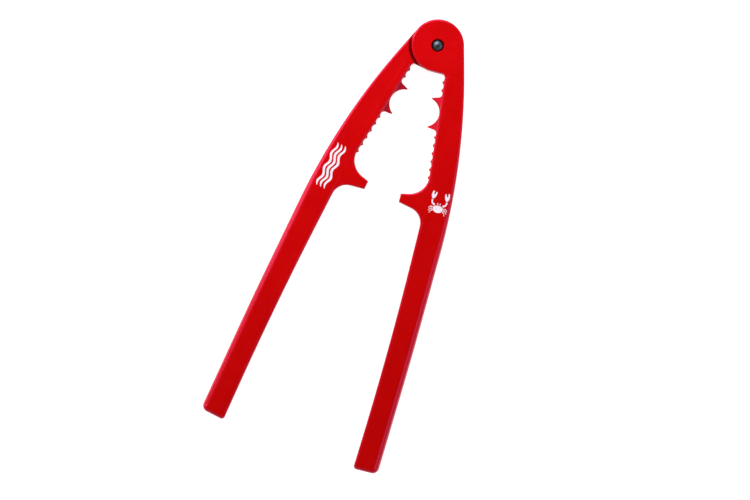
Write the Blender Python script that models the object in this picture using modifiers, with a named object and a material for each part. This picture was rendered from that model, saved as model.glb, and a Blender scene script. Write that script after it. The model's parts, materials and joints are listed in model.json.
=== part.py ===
"""Lobster cracker: two cast arms hinged on one rivet, a fork arm whose two cheeks straddle a tongue arm.

It lies flat on its back face, with the hinge towards +Y, the legs towards -Y and the front face up.
Each arm is drawn closed, in a frame of its own: x runs outward from the mid-line of the closed tool,
y runs from the rivet's centre towards the leg ends. The jaw's teeth are drawn along its wall instead:
u runs along the wall from the rivet's level, v runs from the wall towards the mid-line.
Lengths are metres.
"""
import math

import bmesh
import bpy
from mathutils import Matrix, Vector

MM = 0.001

# Both arms
ARM_REACH = 179.0 * MM            # rivet centre to the leg ends, along the mid-line
THICKNESS = 14.0 * MM             # back face to front face
HEAD_RADIUS = 11.0 * MM           # round end about the rivet
EDGE_ROUND = 1.5 * MM             # rounding of the edges of both faces
MOUTH_EDGE_ROUND = 0.7 * MM       # the same round the mouth
BACK_CORNER = (23.1 * MM, 45.0 * MM)   # where the neck's outer line would meet the leg's
BACK_RADIUS = 280.0 * MM          # long curve that rounds it
KNEE = 128.0 * MM                 # rivet to where the leg starts to lean inward
KNEE_INSIDE = 11.3 * MM           # mid-line to the leg's inner edge there
KNEE_WIDTH = 10.1 * MM
LEG_END_INSIDE = 8.9 * MM         # mid-line to the leg's inner edge at its end
LEG_END_WIDTH = 10.5 * MM
LEG_BOW_RADIUS = 1500.0 * MM      # slight bow of both of the leg's edges
LEG_END_RADIUS = 3.4 * MM         # outer corner of the leg's end

# Mouth
JAW_OFFSET = 5.0 * MM             # mid-line to the jaw's wall, at the level of the rivet
JAW_ANGLE = math.radians(5.3)     # wall's lean away from the mid-line
MOUTH_CORNER_RADIUS = 1.6 * MM    # inner corner under the head
LUG_TOP = 63.3 * MM               # rivet to the lug's upper edge, at the mid-line
LUG_DEPTH = 3.7 * MM              # height of the lug's end face
LUG_FLARE = math.radians(12.0)    # lean of its upper and lower edges
LUG_TOP_RADIUS = 8.3 * MM         # where the wall runs into the lug
LUG_UNDER_RADIUS = 6.5 * MM       # where the lug runs into the leg
LUG_ROOT = 11.1 * MM              # mid-line to the leg's inner edge under the lug

# Teeth
BITE_CENTRE = 27.5 * MM           # u of the round bite between the two spikes
BITE_RADIUS = 6.15 * MM
SPIKE_LENGTH = 4.0 * MM           # from the wall to a spike's tip
SPIKE_TIP = 0.45 * MM             # blunt width of the tip
SPIKE_FLANK = 0.7 * MM            # how much wider the spike is where the small teeth start
NEAREST_TOOTH = 9.85 * MM         # bite's centre to the tip of the first small tooth, each way
TOOTH_PITCH = 3.39 * MM
TOOTH_HEIGHT = 0.82 * MM
UPPER_TEETH = 2
LOWER_TEETH = 6
RIB_THICKNESS = 7.6 * MM          # toothed rib, at the wall
SPIKE_THICKNESS = 1.8 * MM        # the same rib, thinned to a spike's tip
RIB_ROOT = 2.0 * MM               # how deep the rib is set in the arm

# Hinge
OPENING = math.radians(12.76)     # angle between the two mid-lines as the tool lies
CHEEK = 3.8 * MM                  # each of the fork's two cheeks
SHOULDER_GAP = 1.1 * MM           # between one arm's round end and the other arm's shoulder
WASHER = 0.5 * MM
WASHER_RADIUS = 8.0 * MM
SHANK_RADIUS = 2.0 * MM
RIVET_HEAD_LIP = 0.4 * MM         # how far a head stands out from the shank
RIVET_HEAD_EDGE = 0.35 * MM       # straight rim under the dome
RIVET_DOME = 0.6 * MM             # rise of the dome above that rim
RIVET_SINK = 0.15 * MM            # dome's top below the face

# Clearances
FIT = 0.3 * MM                    # between pieces that touch on the real tool
LUG_CLEARANCE = 0.15 * MM         # each lug's end face to the mid-line

ARC_ERROR = 0.02 * MM             # largest distance between an arc and its chords
FLAT = math.radians(0.1)          # faces that turn by less than this are one flat face
ROUND_SIDES = 48                  # sides of the turned and drilled shapes
SAME_POINT = 0.001 * MM           # points nearer than this are one point
EDGE_STEPS = 2                    # flats across a rounded edge
DOME_STEPS = 4                    # flats from a rivet dome's rim to its top

SLOT = THICKNESS - 2 * CHEEK
TONGUE = SLOT - 2 * (WASHER + 2 * FIT)
SHOULDER_RADIUS = HEAD_RADIUS + SHOULDER_GAP
BORE_RADIUS = SHANK_RADIUS + FIT
RIVET_HEAD_RADIUS = SHANK_RADIUS + RIVET_HEAD_LIP
RECESS_RADIUS = RIVET_HEAD_RADIUS + FIT
RECESS_DEPTH = RIVET_SINK + RIVET_DOME + RIVET_HEAD_EDGE + FIT
OVERCUT = 1.0 * MM                # how far a cutter runs past the face that it opens


# Outlines

def arc_points(start, centre, turn):
    """Points from start round centre by turn radians, start and end included."""
    spoke = start - centre
    step = 2 * math.acos(1 - ARC_ERROR / max(spoke.length, 2 * ARC_ERROR))
    count = max(2, math.ceil(abs(turn) / step))
    return [centre + Matrix.Rotation(turn * i / count, 2) @ spoke for i in range(count + 1)]


def rounded_outline(corners):
    """Closed outline through corners (x, y, radius), each rounded as far as its two sides allow."""
    count = len(corners)
    points = [Vector(corner[:2]) for corner in corners]
    sides = [points[(i + 1) % count] - points[i] for i in range(count)]
    turns = [-sides[i - 1].angle_signed(sides[i]) for i in range(count)]
    cuts = [corners[i][2] * math.tan(abs(turns[i]) / 2) for i in range(count)]
    room = [side.length / max(cuts[i] + cuts[(i + 1) % count], side.length) for i, side in enumerate(sides)]
    outline = []
    for i in range(count):
        cut = cuts[i] * min(room[i - 1], room[i])
        if cut == 0:
            outline.append(points[i])
            continue
        start = points[i] - sides[i - 1].normalized() * cut
        towards_centre = sides[i - 1].orthogonal().normalized() * math.copysign(1, turns[i])
        centre = start + towards_centre * cut / math.tan(abs(turns[i]) / 2)
        outline += arc_points(start, centre, turns[i])
    return without_repeats(outline)


def without_repeats(outline):
    """The same closed outline with points that fall on the one before them left out."""
    return [point for i, point in enumerate(outline) if (point - outline[i - 1]).length > ARC_ERROR]


def wall_x(y):
    """Mid-line to the jaw's wall at height y."""
    return JAW_OFFSET + y * math.tan(JAW_ANGLE)


def meet_wall(y_at_midline, lean):
    """Where a line that leaves the mid-line at y_at_midline, leaning by lean, meets the jaw's wall."""
    y = (y_at_midline + JAW_OFFSET * math.tan(lean)) / (1 - math.tan(JAW_ANGLE) * math.tan(lean))
    return wall_x(y), y


def neck_corner():
    """Where the neck's outer line, which touches the round head, would meet the line over its top."""
    back = Vector(BACK_CORNER)
    touch = math.atan2(*back) + math.acos(HEAD_RADIUS / back.length)
    neck = Vector((math.sin(touch), math.cos(touch))) * HEAD_RADIUS - back
    return back + neck * (-HEAD_RADIUS - back.y) / neck.y


def arm_outline():
    """Front view of a closed arm without its teeth, from the top of the head down the back."""
    lug_bottom = LUG_TOP + LUG_DEPTH
    knee_outside = KNEE_INSIDE + KNEE_WIDTH
    end_outside = LEG_END_INSIDE + LEG_END_WIDTH
    return rounded_outline([
        (-HEAD_RADIUS, -HEAD_RADIUS, HEAD_RADIUS),
        (*neck_corner(), HEAD_RADIUS),
        (*BACK_CORNER, BACK_RADIUS),
        (knee_outside, KNEE, LEG_BOW_RADIUS),
        (end_outside, ARM_REACH, LEG_END_RADIUS),
        (LEG_END_INSIDE, ARM_REACH, 0),
        (KNEE_INSIDE, KNEE, LEG_BOW_RADIUS),
        (LUG_ROOT, lug_bottom + LUG_ROOT * math.tan(LUG_FLARE), LUG_UNDER_RADIUS),
        (LUG_CLEARANCE, lug_bottom, 0),
        (LUG_CLEARANCE, LUG_TOP, 0),
        (*meet_wall(LUG_TOP, -LUG_FLARE), LUG_TOP_RADIUS),
        (*meet_wall(HEAD_RADIUS, 0), MOUTH_CORNER_RADIUS),
        (-HEAD_RADIUS, HEAD_RADIUS, HEAD_RADIUS),
    ])


def hollow(start, end, depth):
    """Round hollow between two tooth tips, sinking by depth below the line between them."""
    half = (end - start).length / 2
    radius = (half * half + depth * depth) / (2 * depth)
    along = (end - start).normalized()
    centre = (start + end) / 2 + Vector((-along.y, along.x)) * (radius - depth)
    return arc_points(start, centre, 2 * math.atan2(half, radius - depth))[1:]


def bite_half_width():
    """Bite's centre to where its arc reaches a spike's tip, along the wall."""
    return math.sqrt(BITE_RADIUS ** 2 - (BITE_RADIUS - SPIKE_LENGTH) ** 2)


def spike_and_teeth(count):
    """A spike and its row of small teeth as (distance from the bite's centre, height), outward."""
    tip = bite_half_width() + SPIKE_TIP
    points = [Vector((tip, SPIKE_LENGTH)), Vector((tip + SPIKE_FLANK, TOOTH_HEIGHT))]
    for i in range(count + 1):
        points += hollow(points[-1], Vector((NEAREST_TOOTH + i * TOOTH_PITCH, TOOTH_HEIGHT)), TOOTH_HEIGHT)
    return points


def rib_outline():
    """Side of the toothed rib in wall coordinates (u, v), from the head to the lug and back."""
    rise = BITE_RADIUS - SPIKE_LENGTH
    bite_start = Vector((-bite_half_width(), SPIKE_LENGTH))
    bite = arc_points(bite_start, Vector((0, BITE_RADIUS)), 2 * math.atan2(bite_half_width(), rise))
    upper = [Vector((-point.x, point.y)) for point in reversed(spike_and_teeth(UPPER_TEETH))]
    points = upper + bite + spike_and_teeth(LOWER_TEETH)
    points += [Vector((points[-1].x, -RIB_ROOT)), Vector((points[0].x, -RIB_ROOT))]
    return [point + Vector((BITE_CENTRE, 0)) for point in points]


# Solids

def is_level(edge):
    """Whether both ends of a plate's edge lie in one face."""
    return abs(edge.verts[0].co.z - edge.verts[1].co.z) < ARC_ERROR


def use_collection(name):
    collection = bpy.data.collections.new(name)
    bpy.context.scene.collection.children.link(collection)
    return collection


def add_object(name, mesh, collection):
    thing = bpy.data.objects.new(name, mesh)
    collection.objects.link(thing)
    return thing


def plate_mesh(name, outline, thickness):
    """Flat closed plate with the given outline, half its thickness to each side of z = 0."""
    curve = bpy.data.curves.new(name, "CURVE")
    curve.dimensions = "2D"
    curve.fill_mode = "BOTH"
    curve.extrude = thickness / 2
    spline = curve.splines.new("POLY")
    spline.points.add(len(outline) - 1)
    for point, place in zip(spline.points, outline):
        point.co = (*place, 0, 1)
    spline.use_cyclic_u = True
    guide = bpy.data.objects.new(name, curve)
    bpy.context.scene.collection.objects.link(guide)
    bpy.context.view_layer.update()
    mesh = bpy.data.meshes.new_from_object(guide.evaluated_get(bpy.context.evaluated_depsgraph_get()))
    bpy.data.objects.remove(guide)
    weld(mesh)
    return mesh


def weld(mesh):
    """Joins the loose caps of a filled curve to its sides, and makes each cap one face."""
    shape = bmesh.new()
    shape.from_mesh(mesh)
    bmesh.ops.remove_doubles(shape, verts=shape.verts, dist=SAME_POINT)
    across_caps = [edge for edge in shape.edges if edge.calc_face_angle() < FLAT and is_level(edge)]
    bmesh.ops.dissolve_edges(shape, edges=across_caps)
    bmesh.ops.recalc_face_normals(shape, faces=shape.faces)
    shape.to_mesh(mesh)
    shape.free()


def to_arm(mesh, side):
    """Moves a mesh from the closed arm's drawing to the arm on side +1 or -1 of the mid-line."""
    mesh.transform(Matrix.Diagonal((side, -1, 1, 1)))
    if side > 0:
        mesh.flip_normals()


def edge_round_at(x, y):
    """Rounding of a face's edge: small round the mouth, full elsewhere."""
    if x > wall_x(y) or y < HEAD_RADIUS:
        return EDGE_ROUND
    lug_bottom = LUG_TOP + LUG_DEPTH
    past_lug = (y - lug_bottom) / LUG_UNDER_RADIUS
    return MOUTH_EDGE_ROUND + (EDGE_ROUND - MOUTH_EDGE_ROUND) * min(max(past_lug, 0), 1)


def weigh_edges(mesh):
    """Gives the edges of both faces of a plate their share of the full rounding."""
    shape = bmesh.new()
    shape.from_mesh(mesh)
    weight = shape.edges.layers.float.new("bevel_weight_edge")
    for edge in filter(is_level, shape.edges):
        middle = (edge.verts[0].co + edge.verts[1].co) / 2
        edge[weight] = edge_round_at(middle.x, middle.y) / EDGE_ROUND
    shape.to_mesh(mesh)
    shape.free()


def round_edges(thing):
    bevel = thing.modifiers.new("Rounded edges", "BEVEL")
    bevel.limit_method = "WEIGHT"
    bevel.width = EDGE_ROUND
    bevel.segments = EDGE_STEPS
    bevel.use_clamp_overlap = False


def combine(thing, other, operation):
    boolean = thing.modifiers.new(other.name, "BOOLEAN")
    boolean.operation = operation
    boolean.object = other


def hide(thing):
    thing.hide_render = True
    thing.display_type = "WIRE"


def rib_tool(name, side, collection):
    """The toothed rib of one arm, a wedge that thins evenly towards the spikes' tips."""
    mesh = plate_mesh(name, rib_outline(), RIB_THICKNESS)
    thinning = (RIB_THICKNESS - SPIKE_THICKNESS) / RIB_THICKNESS / SPIKE_LENGTH
    for vertex in mesh.vertices:
        vertex.co.z *= 1 - thinning * vertex.co.y
    mesh.transform(Matrix.Translation((JAW_OFFSET, 0, 0)) @ Matrix.Rotation(math.pi / 2 - JAW_ANGLE, 4, "Z"))
    to_arm(mesh, side)
    rib = add_object(name, mesh, collection)
    hide(rib)
    return rib


def drill(name, radius, low, high, collection):
    """Round cutter on the rivet's axis, between two heights from the arm's middle plane."""
    bpy.ops.mesh.primitive_cylinder_add(vertices=ROUND_SIDES, radius=radius, depth=high - low)
    cutter = bpy.context.object
    cutter.name = name
    cutter.data.transform(Matrix.Translation((0, 0, (low + high) / 2)))
    for old in cutter.users_collection:
        old.objects.unlink(cutter)
    collection.objects.link(cutter)
    hide(cutter)
    return cutter


def arm(name, side, cuts, arms, tools):
    """One arm: a plate with rounded edges, its toothed rib, and the cuts that make its hinge."""
    mesh = plate_mesh(name, arm_outline(), THICKNESS)
    weigh_edges(mesh)
    to_arm(mesh, side)
    thing = add_object(name, mesh, arms)
    round_edges(thing)
    pieces = [rib_tool(name + "_rib", side, tools)]
    combine(thing, pieces[0], "UNION")
    for label, radius, low, high in cuts:
        pieces.append(drill(f"{name}_{label}", radius, low, high, tools))
        combine(thing, pieces[-1], "DIFFERENCE")
    for piece in pieces:
        piece.parent = thing
    return thing


def fork_arm(arms, tools):
    """The arm with a cheek on each face, a slot between them and a sunk seat for each rivet head."""
    face = THICKNESS / 2
    return arm("fork_arm", 1, [
        ("slot", SHOULDER_RADIUS, -SLOT / 2, SLOT / 2),
        ("bore", BORE_RADIUS, -face - OVERCUT, face + OVERCUT),
        ("front_seat", RECESS_RADIUS, face - RECESS_DEPTH, face + OVERCUT),
        ("back_seat", RECESS_RADIUS, -face - OVERCUT, RECESS_DEPTH - face),
    ], arms, tools)


def tongue_arm(arms, tools):
    """The arm whose round tongue turns in the slot, with a shoulder round each of the cheeks."""
    face = THICKNESS / 2
    return arm("tongue_arm", -1, [
        ("front_shoulder", SHOULDER_RADIUS, TONGUE / 2, face + OVERCUT),
        ("back_shoulder", SHOULDER_RADIUS, -face - OVERCUT, -TONGUE / 2),
        ("bore", BORE_RADIUS, -face - OVERCUT, face + OVERCUT),
    ], arms, tools)


def turned(name, profile, is_ring, collection):
    """Solid of revolution about Z from a profile of (radius, height), top to bottom on its outer side."""
    mesh = bpy.data.meshes.new(name)
    links = [(i, i + 1) for i in range(len(profile) - 1)]
    if is_ring:
        links.append((len(profile) - 1, 0))
    mesh.from_pydata([(radius, 0, height) for radius, height in profile], links, [])
    thing = add_object(name, mesh, collection)
    screw = thing.modifiers.new("Turned", "SCREW")
    screw.steps = screw.render_steps = ROUND_SIDES
    screw.use_merge_vertices = True
    screw.merge_threshold = SAME_POINT
    screw.use_smooth_shade = True
    return thing


def pivot_rivet(collection):
    """One steel rivet with a low dome on each end, both sunk just below the cheeks' faces."""
    top = THICKNESS / 2 - RIVET_SINK
    dome_radius = (RIVET_HEAD_RADIUS ** 2 + RIVET_DOME ** 2) / (2 * RIVET_DOME)
    spread = math.asin(RIVET_HEAD_RADIUS / dome_radius)
    angles = [spread * i / DOME_STEPS for i in range(DOME_STEPS + 1)]
    head = [(dome_radius * math.sin(a), top - dome_radius * (1 - math.cos(a))) for a in angles]
    seat = top - RIVET_DOME - RIVET_HEAD_EDGE
    head += [(RIVET_HEAD_RADIUS, seat), (SHANK_RADIUS, seat)]
    tail = [(radius, -height) for radius, height in reversed(head)]
    return turned("pivot_rivet", head + tail, False, collection)


def washer(name, side, collection):
    """Thin plastic washer between the tongue and one cheek."""
    top, bottom = WASHER / 2, -WASHER / 2
    profile = [(WASHER_RADIUS, top), (WASHER_RADIUS, bottom), (BORE_RADIUS, bottom), (BORE_RADIUS, top)]
    thing = turned(name, profile, True, collection)
    thing.location.z = side * (TONGUE / 2 + FIT + WASHER / 2)
    return thing


# Materials

def finish(thing, name, colour, roughness, metallic):
    material = bpy.data.materials.get(name) or bpy.data.materials.new(name)
    material.use_nodes = True
    shader = material.node_tree.nodes["Principled BSDF"]
    shader.inputs["Base Color"].default_value = (*colour, 1)
    shader.inputs["Roughness"].default_value = roughness
    shader.inputs["Metallic"].default_value = metallic
    thing.data.materials.append(material)


def red_paint(thing):
    finish(thing, "red_paint", (0.61, 0.0025, 0.0045), 0.35, 0.0)


def dark_steel(thing):
    finish(thing, "dark_steel", (0.06, 0.08, 0.10), 0.25, 1.0)


def nylon(thing):
    finish(thing, "nylon", (0.75, 0.73, 0.66), 0.5, 0.0)


# Assembly

def rivet_place():
    """Where the rivet's middle goes, so that the box round the tool stands on the origin."""
    half = OPENING / 2
    reach = max(point.y * math.cos(half) - point.x * math.sin(half) for point in arm_outline())
    return (0, (reach - HEAD_RADIUS) / 2, THICKNESS / 2)


def empty(name, parent, angle, collection):
    thing = add_object(name, None, collection)
    thing.empty_display_size = HEAD_RADIUS
    thing.rotation_euler.z = angle
    thing.parent = parent
    return thing


def main():
    for thing in list(bpy.data.objects):
        bpy.data.objects.remove(thing)
    cracker = use_collection("lobster_cracker")
    tools = use_collection("cutters")
    hinge = empty("hinge", None, 0, cracker)
    hinge.location = rivet_place()
    fork_side = empty("fork_side", hinge, OPENING / 2, cracker)
    tongue_side = empty("tongue_side", hinge, -OPENING / 2, cracker)

    fork = fork_arm(cracker, tools)
    tongue = tongue_arm(cracker, tools)
    rivet = pivot_rivet(cracker)
    washers = [washer("front_washer", 1, cracker), washer("back_washer", -1, cracker)]
    for thing in (fork, rivet, *washers):
        thing.parent = fork_side
    tongue.parent = tongue_side

    red_paint(fork)
    red_paint(tongue)
    dark_steel(rivet)
    for thing in washers:
        nylon(thing)


main()
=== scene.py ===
"""Looks of the lobster cracker: two red powder-coated castings on a dark steel rivet, seen from above.

The arms are made again here as finer castings, with draft, a parting line and softly rounded edges.
Each is drawn closed, as in the CAD model: x runs outward from the mid-line of the closed tool, y runs
from the rivet's centre to the leg ends, and the teeth are drawn as (u, v) along and off the jaw's wall.
Lengths are metres.
"""

import json
import math

import bmesh
import bpy
from mathutils import Matrix, Vector

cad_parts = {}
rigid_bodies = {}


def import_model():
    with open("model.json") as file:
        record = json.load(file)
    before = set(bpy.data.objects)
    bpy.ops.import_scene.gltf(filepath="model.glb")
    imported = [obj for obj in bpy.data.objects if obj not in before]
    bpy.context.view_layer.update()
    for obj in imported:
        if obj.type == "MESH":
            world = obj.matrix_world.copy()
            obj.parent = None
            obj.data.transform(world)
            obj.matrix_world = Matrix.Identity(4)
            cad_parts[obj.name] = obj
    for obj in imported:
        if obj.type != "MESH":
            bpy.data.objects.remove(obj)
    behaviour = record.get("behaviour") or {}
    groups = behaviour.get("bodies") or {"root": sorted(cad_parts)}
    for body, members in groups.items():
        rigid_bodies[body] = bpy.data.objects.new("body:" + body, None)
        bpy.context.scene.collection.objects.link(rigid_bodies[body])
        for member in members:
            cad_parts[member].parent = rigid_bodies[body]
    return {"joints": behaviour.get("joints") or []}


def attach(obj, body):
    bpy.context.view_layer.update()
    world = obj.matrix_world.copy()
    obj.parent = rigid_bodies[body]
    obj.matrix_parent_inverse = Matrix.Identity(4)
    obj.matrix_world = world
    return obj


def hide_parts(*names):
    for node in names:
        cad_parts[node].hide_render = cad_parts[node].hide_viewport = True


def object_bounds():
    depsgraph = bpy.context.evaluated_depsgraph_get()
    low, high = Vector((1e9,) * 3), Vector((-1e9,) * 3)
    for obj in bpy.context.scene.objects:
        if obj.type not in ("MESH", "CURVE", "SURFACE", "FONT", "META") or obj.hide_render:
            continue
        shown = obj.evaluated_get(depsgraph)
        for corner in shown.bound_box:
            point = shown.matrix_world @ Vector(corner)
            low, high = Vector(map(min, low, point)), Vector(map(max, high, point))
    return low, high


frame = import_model()
cad_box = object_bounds()

MM = 0.001
HINGE = frame["joints"][0]
PIVOT = Vector(HINGE["pos_m"])
HALF_OPENING = math.radians(-HINGE["range_deg"][0]) / 2
THICKNESS = cad_box[1].z - cad_box[0].z
FACE = THICKNESS / 2              # from the arms' middle plane to either face
FORK, TONGUE_SIDE = 1, -1         # side of the mid-line that an arm lies on
BODY = {FORK: HINGE["parent"], TONGUE_SIDE: HINGE["child"]}

# Both arms, as in the CAD model
ARM_REACH = 179.0 * MM
HEAD_RADIUS = 11.0 * MM
BACK_CORNER = (23.1 * MM, 45.0 * MM)
BACK_RADIUS = 280.0 * MM
KNEE = 128.0 * MM
KNEE_INSIDE = 11.3 * MM
KNEE_WIDTH = 10.1 * MM
LEG_END_INSIDE = 8.9 * MM
LEG_END_WIDTH = 10.5 * MM
LEG_BOW_RADIUS = 1500.0 * MM
LEG_END_RADIUS = 2.8 * MM         # tighter than the CAD model's
LEG_END_INNER_RADIUS = 1.3 * MM
JAW_OFFSET = 5.0 * MM
JAW_ANGLE = math.radians(5.3)
MOUTH_CORNER_RADIUS = 1.6 * MM
LUG_TOP = 63.3 * MM
LUG_BOTTOM = 67.0 * MM
LUG_FLARE = math.radians(12.0)
LUG_TOP_RADIUS = 8.3 * MM
LUG_UNDER_RADIUS = 6.5 * MM
LUG_ROOT = 11.1 * MM
LUG_CLEARANCE = 0.15 * MM
LUG_CORNER_RADIUS = 0.35 * MM

# Teeth
BITE_CENTRE = 27.5 * MM
BITE_RADIUS = 6.15 * MM
SPIKE_LENGTH = 4.0 * MM
SPIKE_TIP = 0.45 * MM
SPIKE_FLANK = 0.7 * MM
NEAREST_TOOTH = 9.85 * MM
TOOTH_PITCH = 3.39 * MM
TOOTH_HEIGHT = 0.82 * MM
UPPER_TEETH = 2
LOWER_TEETH = 6
RIB_THICKNESS = 7.6 * MM
SPIKE_THICKNESS = 1.8 * MM
RIB_ROOT = 2.0 * MM
TOOTH_SOFTNESS = 0.12 * MM        # rounding that the paint leaves on the teeth

# Casting
EDGE_ROUND = 2.7 * MM             # edges of both faces along the outer side of the legs
HEAD_EDGE_ROUND = 0.8 * MM        # the same round the head
INNER_EDGE_ROUND = 0.7 * MM       # the same along the mouth and the inner side of the legs
END_EDGE_ROUND = 1.7 * MM         # the same across the leg's end
NECK_END = 20.0 * MM              # rivet to where the outer edges' rounding starts to grow
FULL_ROUND_FROM = 100.0 * MM      # rivet to where it is full
EDGE_STEPS = 7
DRAFT = 0.05 * MM                 # how much the walls lean in from the parting line to a face's edge
PARTING_RIDGE = 0.03 * MM         # half width and height of the line where the two die halves met
CAP_RIM = 0.5 * MM                # flat band inside a face's edge, which keeps its shading flat

# Shallow raised land along the inner side of both faces
LAND_RISE = 0.05 * MM
LAND_SLOPE = 0.9 * MM             # width of its sloping outer border
LAND_EDGE = 0.12 * MM             # width of its steep inner border
LAND_SINK = 0.01 * MM             # how far the borders run on under the face
LAND_RUN_OUT = 1.0 * MM           # length over which it sinks away at each end
LAND = [                          # (from the rivet, inner border, outer border)
    (12.0 * MM, 7.05 * MM, 8.8 * MM),
    (58.0 * MM, 11.3 * MM, 12.8 * MM),
    (64.0 * MM, 11.8 * MM, 13.35 * MM),
    (75.0 * MM, 12.0 * MM, 14.3 * MM),
    (95.0 * MM, 12.05 * MM, 13.5 * MM),
    (128.0 * MM, 12.15 * MM, 13.4 * MM),
    (176.0 * MM, 9.95 * MM, 13.2 * MM),
]

# Hinge
CHEEK = 3.8 * MM
SHOULDER_GAP = 1.1 * MM
WASHER = 0.5 * MM
WASHER_RADIUS = 8.0 * MM
SHANK_RADIUS = 2.0 * MM
RIVET_HEAD_RADIUS = 2.4 * MM
RIVET_HEAD_EDGE = 0.35 * MM
RIVET_DOME = 1.0 * MM
RIVET_SINK = 0.15 * MM
FIT = 0.3 * MM                    # clearance between neighbouring pieces
BREAK = 0.12 * MM                 # chamfer on machined edges
OVERCUT = 1.0 * MM
SLOT = THICKNESS - 2 * CHEEK
TONGUE = SLOT - 2 * (WASHER + 2 * FIT)
SHOULDER_RADIUS = HEAD_RADIUS + SHOULDER_GAP
BORE_RADIUS = SHANK_RADIUS + FIT
RECESS_RADIUS = RIVET_HEAD_RADIUS + FIT
RECESS_DEPTH = RIVET_SINK + RIVET_DOME + RIVET_HEAD_EDGE + FIT

# Print
INK = 0.02 * MM                   # thickness of the printed ink
INK_SINK = 0.25 * INK             # how deep it lies in the paint
CRAB_CENTRE = (16.6 * MM, 64.3 * MM)
WAVE_CENTRE = (16.9 * MM, 64.5 * MM)
BAND_LENGTH = 19.5 * MM
BAND_PERIOD = 6.5 * MM
BAND_RISE = 0.5 * MM
BAND_THICKNESS = 1.0 * MM
BAND_PITCH = 1.75 * MM
BAND_END = 0.02                   # a band thins at its ends to the root of this share
BANDS = 3
BAND_STEPS = 48
STROKE_STEPS = 4
CURVE_STEPS = 8

# Precision and shading
ARC_ERROR = 0.004 * MM
TOOTH_ARC_ERROR = 0.01 * MM
SAME_POINT = 0.0005 * MM
FLAT = math.radians(0.1)          # faces that meet at less are one flat face
CREASE = math.radians(1.0)        # edges of the land that bend more are shaded sharp
LAND_ANGLE_MARGIN = 1.3           # how much steeper than drawn a border of the land may turn out
CASTING_SHARP = math.radians(32)  # edges that bend more than these are shaded sharp
RIVET_SHARP = math.radians(40)
WASHER_SHARP = math.radians(50)
TOOTH_SHARP = math.radians(40)    # the rib's edges that bend more are softened
ROUND_SIDES = 96
DOME_STEPS = 16


# Outlines

def arc_points(start, centre, turn, error=ARC_ERROR):
    """Points from start round centre by turn radians, start and end included."""
    spoke = start - centre
    step = 2 * math.acos(1 - error / max(spoke.length, 2 * error))
    count = max(2, math.ceil(abs(turn) / step))
    return [centre + Matrix.Rotation(turn * i / count, 2) @ spoke for i in range(count + 1)]


class Edge:
    """A point of an outline that knows where it goes as the outline shrinks inward."""

    def __init__(self, place, inward, limit=math.inf, bisector=Vector((0, 0))):
        self.place, self.inward, self.limit, self.bisector = place, inward, limit, bisector

    def sunk(self, depth):
        """Its place at a depth; past a convex corner's radius it slides along the corner's bisector."""
        within = min(depth, self.limit)
        return self.place + self.inward * within + self.bisector * (depth - within)


def rounded_outline(corners):
    """Closed anticlockwise outline through corners (x, y, radius), each rounded as far as it can be."""
    count = len(corners)
    points = [Vector(corner[:2]) for corner in corners]
    sides = [points[(i + 1) % count] - points[i] for i in range(count)]
    turns = [-sides[i - 1].angle_signed(sides[i]) for i in range(count)]
    cuts = [corners[i][2] * math.tan(abs(turns[i]) / 2) for i in range(count)]
    room = [side.length / max(cuts[i] + cuts[(i + 1) % count], side.length) for i, side in enumerate(sides)]
    outline = []
    for i in range(count):
        cut = cuts[i] * min(room[i - 1], room[i])
        start = points[i] - sides[i - 1].normalized() * cut
        radius = cut / math.tan(abs(turns[i]) / 2)
        centre = start + sides[i - 1].orthogonal().normalized() * math.copysign(radius, turns[i])
        mitre = (centre - points[i]) / radius
        for place in arc_points(start, centre, turns[i]):
            to_centre = (centre - place) / radius
            if turns[i] > 0:
                outline.append(Edge(place, to_centre, radius, mitre))
            else:
                outline.append(Edge(place, -to_centre))
    return [edge for i, edge in enumerate(outline) if (edge.place - outline[i - 1].place).length > ARC_ERROR]


def wall_x(y):
    """Mid-line to the jaw's wall at height y."""
    return JAW_OFFSET + y * math.tan(JAW_ANGLE)


def meet_wall(y_at_midline, lean):
    """Where a line that leaves the mid-line at y_at_midline, leaning by lean, meets the jaw's wall."""
    y = (y_at_midline + JAW_OFFSET * math.tan(lean)) / (1 - math.tan(JAW_ANGLE) * math.tan(lean))
    return wall_x(y), y


def neck_corner():
    """Where the neck's outer line, which touches the round head, would meet the line over its top."""
    back = Vector(BACK_CORNER)
    touch = math.atan2(*back) + math.acos(HEAD_RADIUS / back.length)
    neck = Vector((math.sin(touch), math.cos(touch))) * HEAD_RADIUS - back
    return back + neck * (-HEAD_RADIUS - back.y) / neck.y


def arm_outline():
    """Front view of a closed arm without its teeth, anticlockwise from the top of the head."""
    return rounded_outline([
        (-HEAD_RADIUS, -HEAD_RADIUS, HEAD_RADIUS),
        (*neck_corner(), HEAD_RADIUS),
        (*BACK_CORNER, BACK_RADIUS),
        (KNEE_INSIDE + KNEE_WIDTH, KNEE, LEG_BOW_RADIUS),
        (LEG_END_INSIDE + LEG_END_WIDTH, ARM_REACH, LEG_END_RADIUS),
        (LEG_END_INSIDE, ARM_REACH, LEG_END_INNER_RADIUS),
        (KNEE_INSIDE, KNEE, LEG_BOW_RADIUS),
        (LUG_ROOT, LUG_BOTTOM + LUG_ROOT * math.tan(LUG_FLARE), LUG_UNDER_RADIUS),
        (LUG_CLEARANCE, LUG_BOTTOM, LUG_CORNER_RADIUS),
        (LUG_CLEARANCE, LUG_TOP, LUG_CORNER_RADIUS),
        (*meet_wall(LUG_TOP, -LUG_FLARE), LUG_TOP_RADIUS),
        (*meet_wall(HEAD_RADIUS, 0), MOUTH_CORNER_RADIUS),
        (-HEAD_RADIUS, HEAD_RADIUS, HEAD_RADIUS),
    ])


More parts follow.
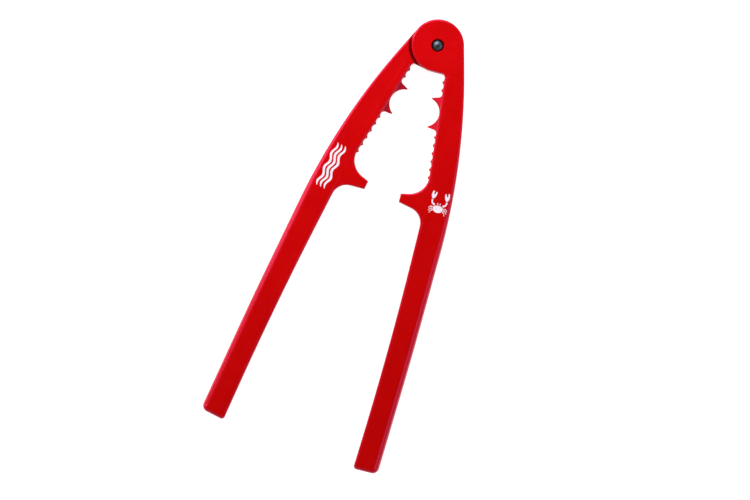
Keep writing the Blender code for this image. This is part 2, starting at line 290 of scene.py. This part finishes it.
def hollow(start, end, depth):
    """Round hollow between two tooth tips, sinking by depth below the line between them."""
    half = (end - start).length / 2
    radius = (half * half + depth * depth) / (2 * depth)
    along = (end - start).normalized()
    centre = (start + end) / 2 + Vector((-along.y, along.x)) * (radius - depth)
    return arc_points(start, centre, 2 * math.atan2(half, radius - depth), TOOTH_ARC_ERROR)[1:]


def bite_half_width():
    """Bite's centre to where its arc reaches a spike's tip, along the wall."""
    return math.sqrt(BITE_RADIUS ** 2 - (BITE_RADIUS - SPIKE_LENGTH) ** 2)


def spike_and_teeth(count):
    """A spike and its row of small teeth as (distance from the bite's centre, height), outward."""
    tip = bite_half_width() + SPIKE_TIP
    points = [Vector((tip, SPIKE_LENGTH)), Vector((tip + SPIKE_FLANK, TOOTH_HEIGHT))]
    for i in range(count + 1):
        points += hollow(points[-1], Vector((NEAREST_TOOTH + i * TOOTH_PITCH, TOOTH_HEIGHT)), TOOTH_HEIGHT)
    return points


def rib_outline():
    """Side of the toothed rib in wall coordinates (u, v), from the head to the lug and back."""
    turn = 2 * math.atan2(bite_half_width(), BITE_RADIUS - SPIKE_LENGTH)
    bite_start = Vector((-bite_half_width(), SPIKE_LENGTH))
    bite = arc_points(bite_start, Vector((0, BITE_RADIUS)), turn, TOOTH_ARC_ERROR)
    upper = [Vector((-point.x, point.y)) for point in reversed(spike_and_teeth(UPPER_TEETH))]
    points = upper + bite + spike_and_teeth(LOWER_TEETH)
    points += [Vector((points[-1].x, -RIB_ROOT)), Vector((points[0].x, -RIB_ROOT))]
    return [point + Vector((BITE_CENTRE, 0)) for point in points]


# Meshes

def arm_place(side):
    """Matrix that takes the closed arm's drawing to its place on the tool as it lies."""
    turn = Matrix.Rotation(side * HALF_OPENING, 4, "Z")
    return Matrix.Translation(PIVOT) @ turn @ Matrix.Diagonal((side, -1, 1, 1))


def add_piece(name, mesh, side=None):
    """Links a piece to the scene, and places it first where it is drawn as part of an arm."""
    if side is not None:
        mesh.transform(arm_place(side))
        if side > 0:
            mesh.flip_normals()
    piece = bpy.data.objects.new(name, mesh)
    bpy.context.scene.collection.objects.link(piece)
    return piece


def blend(low, high, share):
    """Smooth step from low to high as share goes from 0 to 1."""
    share = min(max(share, 0), 1)
    return low + (high - low) * share * share * (3 - 2 * share)


def edge_round_at(point):
    """Rounding of a face's edge: small round the head and inside, and growing down the outer side."""
    is_inner = point.y > ARM_REACH / 2 and point.x < LEG_END_INSIDE + LEG_END_WIDTH / 2
    is_mouth = HEAD_RADIUS < point.y < ARM_REACH / 2 and point.x < wall_x(point.y) + LUG_UNDER_RADIUS
    side_round = INNER_EDGE_ROUND
    if not (is_inner or is_mouth):
        side_round = blend(HEAD_EDGE_ROUND, EDGE_ROUND, (point.y - NECK_END) / (FULL_ROUND_FROM - NECK_END))
    corner = LEG_END_INNER_RADIUS if is_inner else LEG_END_RADIUS
    return blend(side_round, END_EDGE_ROUND, (point.y - ARM_REACH) / corner + 1)


def casting_rings(outline):
    """Rings of points of one half of a casting, from the parting line up to its face."""
    rounds = [edge_round_at(edge.place) for edge in outline]
    rings = [[(*edge.sunk(-PARTING_RIDGE), 0) for edge in outline],
             [(*edge.place, PARTING_RIDGE) for edge in outline]]
    for i in range(EDGE_STEPS + 1):
        angle = math.pi / 2 * i / EDGE_STEPS
        into, up = 1 - math.cos(angle), math.sin(angle)
        rings.append([(*edge.sunk(DRAFT + r * into), FACE - r + r * up) for edge, r in zip(outline, rounds)])
    rings.append([(*edge.sunk(DRAFT + r + CAP_RIM), FACE) for edge, r in zip(outline, rounds)])
    return rings


def casting_mesh(name, outline):
    """Closed casting: rounded edges on both faces, drafted walls and a fine parting ridge at mid height."""
    upper = casting_rings(outline)
    lower = [[(x, y, -z) for x, y, z in ring] for ring in upper[:0:-1]]
    shape = bmesh.new()
    rings = [[shape.verts.new(place) for place in ring] for ring in lower + upper]
    count = len(outline)
    for below, above in zip(rings, rings[1:]):
        for i in range(count):
            after = (i + 1) % count
            shape.faces.new((below[i], below[after], above[after], above[i]))
    shape.faces.new(rings[-1])
    shape.faces.new(rings[0][::-1])
    bmesh.ops.remove_doubles(shape, verts=shape.verts, dist=SAME_POINT)
    mesh = bpy.data.meshes.new(name)
    shape.to_mesh(mesh)
    shape.free()
    return mesh


def evaluated_mesh(thing):
    """The mesh of an object with its modifiers applied."""
    bpy.context.view_layer.update()
    return bpy.data.meshes.new_from_object(thing.evaluated_get(bpy.context.evaluated_depsgraph_get()))


def flat_curve(name, thickness):
    """Empty 2D curve that is filled on both faces."""
    curve = bpy.data.curves.new(name, "CURVE")
    curve.dimensions = "2D"
    curve.fill_mode = "BOTH"
    curve.extrude = thickness / 2
    return curve


def solid_of(curve):
    """Closed mesh of a filled 2D curve, each cap one face."""
    guide = bpy.data.objects.new(curve.name, curve)
    bpy.context.scene.collection.objects.link(guide)
    mesh = evaluated_mesh(guide)
    bpy.data.objects.remove(guide)
    shape = bmesh.new()
    shape.from_mesh(mesh)
    bmesh.ops.remove_doubles(shape, verts=shape.verts, dist=SAME_POINT)
    level = [e for e in shape.edges if abs(e.verts[0].co.z - e.verts[1].co.z) < ARC_ERROR]
    bmesh.ops.dissolve_edges(shape, edges=[e for e in level if e.calc_face_angle(1) < FLAT])
    bmesh.ops.recalc_face_normals(shape, faces=shape.faces)
    shape.to_mesh(mesh)
    shape.free()
    return mesh


def land_tool(side):
    """The raised land on both faces, one prism from face to face that sinks away at its two ends."""
    rise = [-LAND_SINK] + [LAND_RISE] * len(LAND) + [-LAND_SINK]
    first, last = LAND[0], LAND[-1]
    stations = [(first[0] - LAND_RUN_OUT, *first[1:])] + LAND + [(last[0] + LAND_RUN_OUT, *last[1:])]
    shape = bmesh.new()
    sections = []
    for (y, inner, outer), height in zip(stations, rise):
        low, high = FACE - LAND_SINK, FACE + height
        profile = [(inner - LAND_EDGE, low), (inner, high), (outer, high), (outer + LAND_SLOPE, low)]
        profile += [(x, -z) for x, z in reversed(profile)]
        sections.append([shape.verts.new((x, y, z)) for x, z in profile])
    for near, far in zip(sections, sections[1:]):
        for i in range(len(near)):
            shape.faces.new((near[i - 1], near[i], far[i], far[i - 1]))
    shape.faces.new(sections[0])
    shape.faces.new(sections[-1])
    bmesh.ops.recalc_face_normals(shape, faces=shape.faces)
    mesh = bpy.data.meshes.new("land")
    shape.to_mesh(mesh)
    shape.free()
    return add_piece("land", mesh, side)


def land_rise(x, y):
    """How far the land lifts the face at a place."""
    for near, far in zip(LAND, LAND[1:]):
        if near[0] <= y <= far[0]:
            share = (y - near[0]) / (far[0] - near[0])
            outer = near[2] + (far[2] - near[2]) * share
            return LAND_RISE * min(max((outer + LAND_SLOPE - x) / LAND_SLOPE, 0), 1)
    return 0


def rib_tool(side):
    """The toothed rib, a wedge that thins evenly to the spikes' tips, with its edges a little soft."""
    curve = flat_curve("rib", RIB_THICKNESS)
    spline = curve.splines.new("POLY")
    outline = rib_outline()
    spline.points.add(len(outline) - 1)
    for point, place in zip(spline.points, outline):
        point.co = (*place, 0, 1)
    spline.use_cyclic_u = True
    mesh = solid_of(curve)
    thinning = (RIB_THICKNESS - SPIKE_THICKNESS) / RIB_THICKNESS / SPIKE_LENGTH
    for vertex in mesh.vertices:
        vertex.co.z *= 1 - thinning * vertex.co.y
    mesh.transform(Matrix.Translation((JAW_OFFSET, 0, 0)) @ Matrix.Rotation(math.pi / 2 - JAW_ANGLE, 4, "Z"))
    rib = add_piece("rib", mesh, side)
    bevel = rib.modifiers.new("Soft", "BEVEL")
    bevel.width = TOOTH_SOFTNESS
    bevel.segments = 2
    bevel.angle_limit = TOOTH_SHARP
    bevel.use_clamp_overlap = False
    return rib


def turned(name, profile, is_ring=False):
    """Solid of revolution about the rivet's axis, from (radius, height) top to bottom on its outer side."""
    mesh = bpy.data.meshes.new(name)
    links = [(i, i + 1) for i in range(len(profile) - 1)]
    if is_ring:
        links.append((len(profile) - 1, 0))
    mesh.from_pydata([(radius, 0, height) for radius, height in profile], links, [])
    guide = add_piece(name, mesh)
    screw = guide.modifiers.new("Turned", "SCREW")
    screw.steps = screw.render_steps = ROUND_SIDES
    screw.use_merge_vertices = True
    screw.merge_threshold = SAME_POINT
    solid = evaluated_mesh(guide)
    bpy.data.objects.remove(guide)
    solid.transform(Matrix.Translation(PIVOT))
    return add_piece(name, solid)


def flared_hole(name, radius, low, high):
    """Round cutter that opens through a face at `high` and breaks that face's edge."""
    way = math.copysign(1, high)
    wide, outside, inside = radius + BREAK + OVERCUT, high + way * OVERCUT, high - way * BREAK
    profile = [(0, outside), (wide, outside), (radius, inside), (radius, low), (0, low)]
    return turned(name, profile if way > 0 else profile[::-1])


def plain_hole(name, radius, half_height):
    """Round cutter about the rivet's axis, centred on the arms' middle plane."""
    return turned(name, [(0, half_height), (radius, half_height), (radius, -half_height), (0, -half_height)])


def edge_breaker(name, height, way):
    """Ring cutter that chamfers the round head's edge at a height, into the material above or below it."""
    corner, rim = (HEAD_RADIUS - BREAK, height), HEAD_RADIUS + DRAFT
    profile = [corner, (rim, height), (rim, height + way * (BREAK + DRAFT))]
    return turned(name, profile[::-1] if way > 0 else profile, is_ring=True)


def fork_cuts():
    """Cutters for the fork's slot, its bore and seats, and the broken edges of its cheeks."""
    cuts = [
        plain_hole("slot", SHOULDER_RADIUS, SLOT / 2),
        plain_hole("bore", BORE_RADIUS, FACE),
        flared_hole("front_seat", RECESS_RADIUS, FACE - RECESS_DEPTH, FACE),
        flared_hole("back_seat", RECESS_RADIUS, RECESS_DEPTH - FACE, -FACE),
    ]
    return cuts + [edge_breaker("front_cheek", SLOT / 2, 1), edge_breaker("back_cheek", -SLOT / 2, -1)]


def tongue_cuts():
    """Cutters for the room beside the tongue, its bore and its broken edges."""
    cuts = [
        flared_hole("front_shoulder", SHOULDER_RADIUS, TONGUE / 2, FACE),
        flared_hole("back_shoulder", SHOULDER_RADIUS, -TONGUE / 2, -FACE),
        plain_hole("bore", BORE_RADIUS, FACE),
    ]
    return cuts + [edge_breaker("tongue_front", TONGUE / 2, -1), edge_breaker("tongue_back", -TONGUE / 2, 1)]


def smooth(mesh, sharp_angle):
    """Smooth shading, but for the edges whose faces meet at more than an angle."""
    mesh.shade_smooth()
    mesh.set_sharp_from_angle(angle=sharp_angle)


def sharpen_land(mesh):
    """Keeps the land's shallow borders crisp, where averaged shading would hide them."""
    steepest = LAND_ANGLE_MARGIN * math.atan((LAND_RISE + LAND_SINK) / LAND_SLOPE)
    shape = bmesh.new()
    shape.from_mesh(mesh)
    for edge in shape.edges:
        heights = [abs(vertex.co.z - PIVOT.z) for vertex in edge.verts]
        is_top = min(heights) > FACE + LAND_RISE / 2
        is_foot = min(heights) > FACE - SAME_POINT and edge.calc_face_angle(0) < steepest
        if (is_top or is_foot) and edge.calc_face_angle(0) > CREASE:
            edge.smooth = False
    shape.to_mesh(mesh)
    shape.free()


def flat_faces_flat(piece):
    """Keeps broad flat faces evenly shaded beside the rounded edges that they run into."""
    weighted = piece.modifiers.new("Flat faces", "WEIGHTED_NORMAL")
    weighted.keep_sharp = True
    weighted.weight = 100


def casting(name, side, cuts, node):
    """One painted arm, in place of its CAD node."""
    body = add_piece(name + "_body", casting_mesh(name, arm_outline()), side)
    tools = [(rib_tool(side), "UNION"), (land_tool(side), "UNION")] + [(cut, "DIFFERENCE") for cut in cuts]
    for tool, operation in tools:
        boolean = body.modifiers.new(tool.name, "BOOLEAN")
        boolean.operation = operation
        boolean.solver = "MANIFOLD"
        boolean.object = tool
    mesh = evaluated_mesh(body)
    for thing in [body] + [tool for tool, _ in tools]:
        bpy.data.objects.remove(thing)
    smooth(mesh, CASTING_SHARP)
    sharpen_land(mesh)
    piece = add_piece(name, mesh)
    flat_faces_flat(piece)
    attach(piece, BODY[side])
    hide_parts(node)
    return piece


def rivet():
    """Steel rivet, turned, with a dome peened on each end."""
    top = FACE - RIVET_SINK
    dome_radius = (RIVET_HEAD_RADIUS ** 2 + RIVET_DOME ** 2) / (2 * RIVET_DOME)
    spread = math.asin(RIVET_HEAD_RADIUS / dome_radius)
    angles = [spread * i / DOME_STEPS for i in range(DOME_STEPS + 1)]
    head = [(dome_radius * math.sin(a), top - dome_radius * (1 - math.cos(a))) for a in angles]
    seat = top - RIVET_DOME - RIVET_HEAD_EDGE
    head += [(RIVET_HEAD_RADIUS, seat), (SHANK_RADIUS, seat)]
    tail = [(radius, -height) for radius, height in reversed(head)]
    piece = turned("rivet", head + tail)
    smooth(piece.data, RIVET_SHARP)
    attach(piece, BODY[FORK])
    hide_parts("pivot_rivet")
    return piece


def washer(name, way):
    """Nylon washer with slightly broken edges."""
    middle = way * (TONGUE / 2 + FIT + WASHER / 2)
    soft = WASHER / 5
    outer, inner, top, bottom = WASHER_RADIUS, BORE_RADIUS, middle + WASHER / 2, middle - WASHER / 2
    profile = [(outer - soft, top), (outer, top - soft), (outer, bottom + soft), (outer - soft, bottom),
               (inner + soft, bottom), (inner, bottom + soft), (inner, top - soft), (inner + soft, top)]
    piece = turned(name + "_ring", profile, is_ring=True)
    smooth(piece.data, WASHER_SHARP)
    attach(piece, BODY[FORK])
    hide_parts(name)
    return piece


# Print

def smooth_loop(curve, points):
    """Adds a smooth closed outline through points."""
    spline = curve.splines.new("BEZIER")
    spline.bezier_points.add(len(points) - 1)
    for knot, (x, y) in zip(spline.bezier_points, points):
        knot.co = (x, y, 0)
        knot.handle_left_type = knot.handle_right_type = "AUTO"
    spline.use_cyclic_u = True
    spline.resolution_u = CURVE_STEPS


def stroke(curve, start, bend, end, start_width, end_width):
    """Adds a bent stroke whose width changes evenly from its start to its end."""
    start, bend, end = Vector(start), Vector(bend), Vector(end)
    left, right = [], []
    for i in range(STROKE_STEPS + 1):
        t = i / STROKE_STEPS
        place = start * (1 - t) ** 2 + bend * 2 * t * (1 - t) + end * t * t
        along = ((bend - start) * (1 - t) + (end - bend) * t).normalized()
        across = along.orthogonal() * (start_width + (end_width - start_width) * t) / 2
        left.append(place + across)
        right.append(place - across)
    smooth_loop(curve, left + right[::-1])


def scaled(points, way=1):
    """Points given in millimetres, mirrored across the y axis where way is -1."""
    return [(way * x * MM, y * MM) for x, y in points]


def crab(curve):
    """Stencil of a crab seen from above, claws up; no two of its parts touch."""
    shell = [(0, -0.2), (1.2, -0.35), (2.05, -1.1), (1.85, -2.2), (0.9, -3.0),
             (-0.9, -3.0), (-1.85, -2.2), (-2.05, -1.1), (-1.2, -0.35)]
    claw = [(2.95, 2.25), (3.65, 3.1), (3.75, 4.3), (3.15, 5.6), (2.95, 4.7), (2.7, 4.1),
            (2.35, 4.5), (1.95, 5.3), (1.75, 4.2), (2.1, 3.1)]
    strokes = [                   # (start, bend, end), and widths at the start and the end
        ([(0.45, 0.1), (0.5, 0.4), (0.6, 0.8)], 0.3, 0.42),
        ([(1.75, 0.0), (3.3, 0.35), (3.0, 1.85)], 0.7, 0.55),
        ([(2.4, -1.1), (3.4, -0.8), (3.9, -1.9)], 0.4, 0.16),
        ([(2.35, -1.75), (3.3, -1.75), (3.75, -2.9)], 0.4, 0.16),
        ([(2.1, -2.4), (2.95, -2.6), (3.2, -3.8)], 0.4, 0.16),
    ]
    smooth_loop(curve, scaled(shell))
    for way in (1, -1):
        smooth_loop(curve, scaled(claw, way))
        for places, start_width, end_width in strokes:
            stroke(curve, *scaled(places, way), start_width * MM, end_width * MM)


def waves(curve):
    """Wavy bands, one over the other, each thinning to its ends."""
    for band in range(BANDS):
        middle = (band - (BANDS - 1) / 2) * BAND_PITCH
        upper, lower = [], []
        for i in range(BAND_STEPS + 1):
            along = BAND_LENGTH * (i / BAND_STEPS - 0.5)
            swell = middle + BAND_RISE * math.sin(2 * math.pi * along / BAND_PERIOD)
            thinning = max(1 - (2 * along / BAND_LENGTH) ** 6, BAND_END)
            half = BAND_THICKNESS / 2 * math.sqrt(thinning)
            upper.append((along, swell + half))
            lower.append((along, swell - half))
        smooth_loop(curve, upper + lower[::-1])


def printed(name, draw, side, centre, turn=0):
    """Ink mark on an arm's front face, drawn about its centre with its top to the hinge."""
    curve = flat_curve(name, INK)
    draw(curve)
    mesh = solid_of(curve)
    mesh.transform(Matrix.Diagonal((1, -1, 1, 1)) @ Matrix.Rotation(turn, 4, "Z"))
    mesh.flip_normals()
    mesh.transform(Matrix.Translation((*centre, FACE + INK / 2 - INK_SINK)))
    for vertex in mesh.vertices:
        vertex.co.z += land_rise(vertex.co.x, vertex.co.y)
    piece = add_piece(name, mesh, side)
    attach(piece, BODY[side])
    return piece


# Materials

NOISE_LOW, NOISE_HIGH = 0.3, 0.7  # nearly all of a noise lies between these


class Nodes:
    """Shorthand for a material's nodes."""

    def __init__(self, name):
        self.material = bpy.data.materials.new(name)
        self.material.use_nodes = True
        self.tree = self.material.node_tree
        self.shader = self.tree.nodes["Principled BSDF"]

    def add(self, kind, **settings):
        """Adds a node, with settings for its inputs and its own properties."""
        node = self.tree.nodes.new(kind)
        for key, value in settings.items():
            if key in node.inputs:
                node.inputs[key].default_value = value
            else:
                setattr(node, key, value)
        return node

    def link(self, source, target):
        """Joins an output to an input."""
        self.tree.links.new(source, target)

    def noise(self, scale, detail):
        """Noise in the object's own coordinates, scale in bumps per metre."""
        place = self.add("ShaderNodeTexCoord")
        noise = self.add("ShaderNodeTexNoise", Scale=scale, Detail=detail)
        self.link(place.outputs["Object"], noise.inputs["Vector"])
        return noise.outputs["Fac"]

    def spread(self, value, low, high):
        """Maps a noise's middle range onto a range of numbers."""
        ends = {"From Min": NOISE_LOW, "From Max": NOISE_HIGH, "To Min": low, "To Max": high}
        spread = self.add("ShaderNodeMapRange", **ends)
        self.link(value, spread.inputs["Value"])
        return spread.outputs["Result"]

    def tint(self, value, low, high):
        """Maps a noise's middle range onto the colours between two."""
        ramp = self.add("ShaderNodeValToRGB")
        ends = ramp.color_ramp.elements
        ends[0].position, ends[1].position = NOISE_LOW, NOISE_HIGH
        ends[0].color, ends[1].color = (*low, 1), (*high, 1)
        self.link(value, ramp.inputs["Fac"])
        return ramp.outputs["Color"]

    def bump(self, *layers):
        """Adds bump layers (height, distance in metres) one on the other."""
        normal = None
        for height, distance in layers:
            bump = self.add("ShaderNodeBump", Strength=1.0, Distance=distance)
            self.link(height, bump.inputs["Height"])
            if normal is not None:
                self.link(normal, bump.inputs["Normal"])
            normal = bump.outputs["Normal"]
        self.link(normal, self.shader.inputs["Normal"])

    def set(self, **settings):
        """Sets inputs of the material's shader, named with _ for each space."""
        for key, value in settings.items():
            self.shader.inputs[key.replace("_", " ")].default_value = value


def red_paint():
    """Semi-gloss powder coat: orange peel, faint mottling, and gloss that varies a little."""
    paint = Nodes("red_powder_coat")
    colour = paint.tint(paint.noise(60, 3), (0.535, 0.0012, 0.0006), (0.585, 0.0018, 0.0010))
    paint.link(colour, paint.shader.inputs["Base Color"])
    paint.link(paint.spread(paint.noise(220, 4), 0.21, 0.28), paint.shader.inputs["Roughness"])
    paint.bump((paint.noise(650, 2), 0.010 * MM), (paint.noise(2600, 2), 0.003 * MM))
    paint.set(Specular_IOR_Level=1.0, Specular_Tint=(1.0, 0.13, 0.43, 1))
    return paint.material


def dark_steel():
    """Dark polished steel with turning marks round its axis."""
    steel = Nodes("dark_polished_steel")
    colour = steel.tint(steel.noise(900, 3), (0.055, 0.075, 0.095), (0.09, 0.115, 0.14))
    steel.link(colour, steel.shader.inputs["Base Color"])
    steel.link(steel.spread(steel.noise(1500, 3), 0.34, 0.46), steel.shader.inputs["Roughness"])
    place = steel.add("ShaderNodeTexCoord")
    about_axis = steel.add("ShaderNodeMapping")
    about_axis.inputs["Location"].default_value = -PIVOT
    rings = steel.add("ShaderNodeTexWave", wave_type="RINGS", rings_direction="Z")
    rings.inputs["Scale"].default_value = 1600
    rings.inputs["Distortion"].default_value = 1.5
    steel.link(place.outputs["Object"], about_axis.inputs["Vector"])
    steel.link(about_axis.outputs["Vector"], rings.inputs["Vector"])
    steel.bump((rings.outputs["Fac"], 0.0015 * MM))
    steel.set(Metallic=1.0)
    return steel.material


def nylon():
    """Natural nylon, slightly mottled and waxy."""
    plastic = Nodes("natural_nylon")
    colour = plastic.tint(plastic.noise(500, 3), (0.62, 0.59, 0.50), (0.74, 0.71, 0.63))
    plastic.link(colour, plastic.shader.inputs["Base Color"])
    plastic.link(plastic.spread(plastic.noise(900, 2), 0.42, 0.55), plastic.shader.inputs["Roughness"])
    plastic.bump((plastic.noise(1800, 2), 0.004 * MM))
    return plastic.material


def white_ink():
    """Pad-printed white ink, a little uneven in cover and in gloss."""
    ink = Nodes("white_ink")
    colour = ink.tint(ink.noise(1400, 4), (0.80, 0.68, 0.78), (0.90, 0.82, 0.90))
    ink.link(colour, ink.shader.inputs["Base Color"])
    ink.link(ink.spread(ink.noise(2200, 2), 0.4, 0.55), ink.shader.inputs["Roughness"])
    ink.bump((ink.noise(650, 2), 0.012 * MM))
    return ink.material


def pale_floor():
    """Matt pale table top, lit from inside."""
    top = Nodes("pale_floor")
    colour = top.tint(top.noise(40, 4), (0.43, 0.43, 0.43), (0.45, 0.45, 0.45))
    top.link(colour, top.shader.inputs["Base Color"])
    top.link(colour, top.shader.inputs["Emission Color"])
    top.set(Roughness=0.9, Specular_IOR_Level=0.1, Emission_Strength=FLOOR_GLOW)
    return top.material


def paint(pieces, material):
    """Gives each piece its one material."""
    for piece in pieces:
        piece.data.materials.clear()
        piece.data.materials.append(material)


# Stage

ROLL = math.radians(20.58)        # how far the tool leans from upright in the view
VIEW_WIDTH = 312.0 * MM           # width of what the camera sees at the arms' middle plane
VIEW_OFFSET = Vector((5.43, -88.65, 0)) * MM   # rivet to the middle of the view
CAMERA_HEIGHT = 3.0
FLOOR_GLOW = 2.15                 # the floor is a light table, so that no shadow darkens it much
FLOOR_SIZE = 12.0
FLOOR_GAP = 0.02 * MM             # air between the floor and the tool
SKY = [                           # (sine of the height above the horizon, brightness)
    (0.10, 0.05),
    (0.42, 1.0),
    (0.66, 1.0),
    (0.87, 0.0),
]
SKY_STRENGTH = 0.8


def camera():
    """Looks straight down through a long lens, turned so that the legs swing to the left."""
    data = bpy.data.cameras.new("camera")
    data.lens = data.sensor_width * CAMERA_HEIGHT / VIEW_WIDTH
    data.clip_end = 2 * CAMERA_HEIGHT
    thing = bpy.data.objects.new("camera", data)
    thing.location = PIVOT + VIEW_OFFSET + Vector((0, 0, CAMERA_HEIGHT))
    thing.rotation_euler.z = ROLL
    bpy.context.scene.collection.objects.link(thing)
    bpy.context.scene.camera = thing


def floor():
    """Glowing floor just under the tool."""
    bpy.ops.mesh.primitive_plane_add(size=FLOOR_SIZE, location=(0, 0, -LAND_RISE - FLOOR_GAP))
    thing = bpy.context.object
    thing.name = "floor"
    paint([thing], pale_floor())


def softbox(name, place, size, power):
    """Area light aimed at the view's middle; place is how far right of, up from and above that it is."""
    data = bpy.data.lights.new(name, "AREA")
    data.shape = "RECTANGLE"
    data.size, data.size_y = size
    data.energy = power
    thing = bpy.data.objects.new(name, data)
    middle = PIVOT + VIEW_OFFSET
    way = Matrix.Rotation(ROLL, 3, "Z") @ Vector(place)
    thing.location = middle + way
    thing.rotation_euler = way.to_track_quat("Z", "Y").to_euler()
    thing.visible_camera = False
    bpy.context.scene.collection.objects.link(thing)


def studio():
    """Soft surroundings, dark at the horizon and overhead, and softboxes to the left, top and right."""
    world = bpy.data.worlds.new("studio")
    world.use_nodes = True
    tree = world.node_tree
    place = tree.nodes.new("ShaderNodeTexCoord")
    split = tree.nodes.new("ShaderNodeSeparateXYZ")
    ramp = tree.nodes.new("ShaderNodeValToRGB")
    stops = ramp.color_ramp.elements
    stops[0].position, stops[1].position = SKY[0][0], SKY[-1][0]
    for height, _ in SKY[1:-1]:
        stops.new(height)
    for stop, (_, brightness) in zip(stops, SKY):
        stop.color = (brightness, brightness, brightness, 1)
    tree.links.new(place.outputs["Generated"], split.inputs["Vector"])
    tree.links.new(split.outputs["Z"], ramp.inputs["Fac"])
    background = tree.nodes["Background"]
    background.inputs["Strength"].default_value = SKY_STRENGTH
    tree.links.new(ramp.outputs["Color"], background.inputs["Color"])
    bpy.context.scene.world = world
    softbox("left_panel", (-0.41, 0.265, 0.20), (0.20, 0.30), 0.62)
    softbox("top_light", (-0.08, 0.28, 0.24), (0.35, 0.22), 1.34)
    softbox("right_panel", (0.34, -0.05, 0.33), (0.36, 0.13), 0.26)
    bpy.context.scene.view_settings.view_transform = "Standard"


def main():
    fork = casting("fork_casting", FORK, fork_cuts(), "fork_arm")
    tongue = casting("tongue_casting", TONGUE_SIDE, tongue_cuts(), "tongue_arm")
    paint([fork, tongue], red_paint())
    paint([rivet()], dark_steel())
    paint([washer("front_washer", 1), washer("back_washer", -1)], nylon())
    marks = [printed("crab_print", crab, FORK, CRAB_CENTRE),
             printed("wave_print", waves, TONGUE_SIDE, WAVE_CENTRE, math.pi / 2)]
    paint(marks, white_ink())
    floor()
    camera()
    studio()


main()
